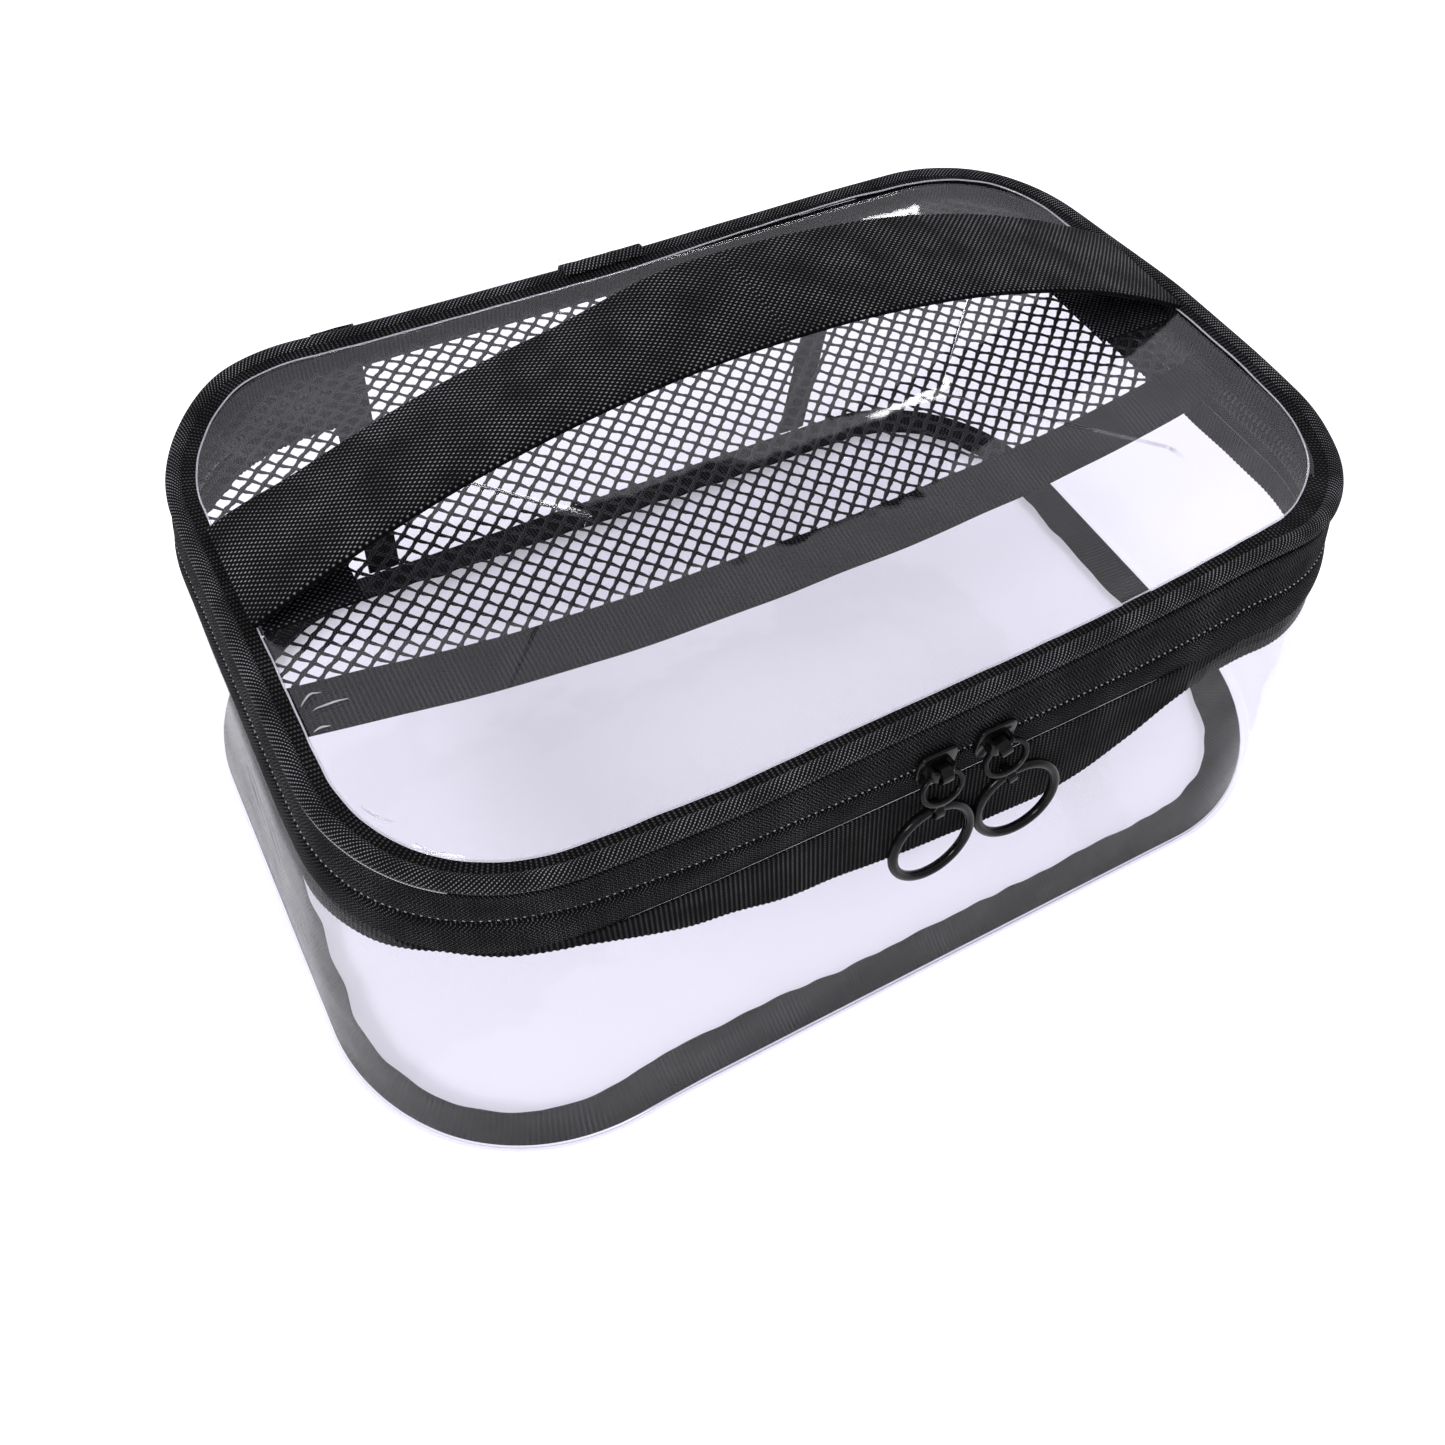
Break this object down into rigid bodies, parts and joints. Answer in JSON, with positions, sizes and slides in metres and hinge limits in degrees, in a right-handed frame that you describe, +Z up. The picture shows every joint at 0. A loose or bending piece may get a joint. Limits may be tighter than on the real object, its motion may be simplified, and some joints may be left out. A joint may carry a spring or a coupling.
{
  "type": "makeup bag",
  "caption": "Clear zip-top makeup bag with black fabric piping and zip tapes, a webbing carry handle, a mesh pocket under the lid and ring-pull zip sliders.",
  "frame": {"origin": "centre of the bottom panel's underside, the face the bag stands on", "axes": "+X along the bag's length, -Y out of the front where the zip sliders are, +Z up through the lid"},
  "size_m": [0.2516, 0.1696, 0.1242],
  "materials": {
    "clear_vinyl": "clear soft vinyl sheet, glossy, faintly violet",
    "twill_tape": "black woven twill, matt with a slight sheen",
    "grosgrain": "black ribbed grosgrain ribbon",
    "handle_webbing": "black close-woven webbing",
    "pocket_net": "black knitted net",
    "zip_coil": "black moulded nylon coil",
    "black_metal": "gloss black plated zinc"
  },
  "bodies": {
    "bag_body": {"bottom_panel": "clear_vinyl", "bottom_binding": "grosgrain", "front_wall": "clear_vinyl", "rear_wall": "clear_vinyl", "rear_seam_tape_left": "grosgrain", "rear_seam_tape_right": "grosgrain", "wall_top_webbing": "grosgrain", "lower_zip_tape": "twill_tape", "lower_zip_coil": "zip_coil"},
    "lid": {"lid_panel": "clear_vinyl", "lid_piping": "twill_tape", "lid_edge_tape": "grosgrain", "lid_inner_binding": "grosgrain", "piping_join_wrap": "twill_tape", "zip_end_tab_left": "twill_tape", "zip_end_tab_right": "twill_tape", "upper_zip_tape": "twill_tape", "upper_zip_coil": "zip_coil", "handle_root_left": "handle_webbing", "handle_root_right": "handle_webbing", "handle_tail_left": "handle_webbing", "handle_tail_right": "handle_webbing"},
    "handle": {"handle_strap": "handle_webbing"},
    "pocket": {"pocket_mesh": "pocket_net", "pocket_binding": "grosgrain"},
    "slider_left": {"slider_body_left": "black_metal", "slider_crown_left": "black_metal"},
    "link_left": {"pull_link_left": "black_metal"},
    "ring_left": {"pull_ring_left": "black_metal"},
    "slider_right": {"slider_body_right": "black_metal", "slider_crown_right": "black_metal"},
    "link_right": {"pull_link_right": "black_metal"},
    "ring_right": {"pull_ring_right": "black_metal"}
  },
  "joints": [
    {"name": "lid_hinge", "type": "hinge", "parent": "bag_body", "child": "lid", "pos_m": [0, 0.0774, 0.084], "axis": [-1, 0, 0], "range_deg": [0, 180]},
    {"name": "handle_swing", "type": "hinge", "parent": "lid", "child": "handle", "pos_m": [0, 0.014, 0.09], "axis": [1, 0, 0], "range_deg": [-40, 40], "stiffness_Nm_per_rad": 0.02},
    {"name": "pocket_open", "type": "hinge", "parent": "lid", "child": "pocket", "pos_m": [0, 0.07, 0.0822], "axis": [1, 0, 0], "range_deg": [0, 10], "stiffness_Nm_per_rad": 0.05, "springref_deg": -8.59},
    {"name": "slider_left_slide", "type": "slide", "parent": "bag_body", "child": "slider_left", "axis": [-1, 0, 0], "range_m": [0, 0.066]},
    {"name": "link_left_hinge", "type": "hinge", "parent": "slider_left", "child": "link_left", "pos_m": [-0.0056, -0.0801, 0.0755], "axis": [-1, 0, 0], "range_deg": [0, 150]},
    {"name": "ring_left_hinge", "type": "hinge", "parent": "link_left", "child": "ring_left", "pos_m": [-0.00835, -0.0812, 0.06495], "axis": [-0.9677, 0, 0.2521], "range_deg": [0, 115]},
    {"name": "slider_right_slide", "type": "slide", "parent": "bag_body", "child": "slider_right", "axis": [1, 0, 0], "range_m": [0, 0.063]},
    {"name": "link_right_hinge", "type": "hinge", "parent": "slider_right", "child": "link_right", "pos_m": [0.0086, -0.0801, 0.0755], "axis": [-1, 0, 0], "range_deg": [0, 150]},
    {"name": "ring_right_hinge", "type": "hinge", "parent": "link_right", "child": "ring_right", "pos_m": [0.0098, -0.0812, 0.06467], "axis": [-0.994, 0, -0.1097], "range_deg": [0, 115]}
  ]
}
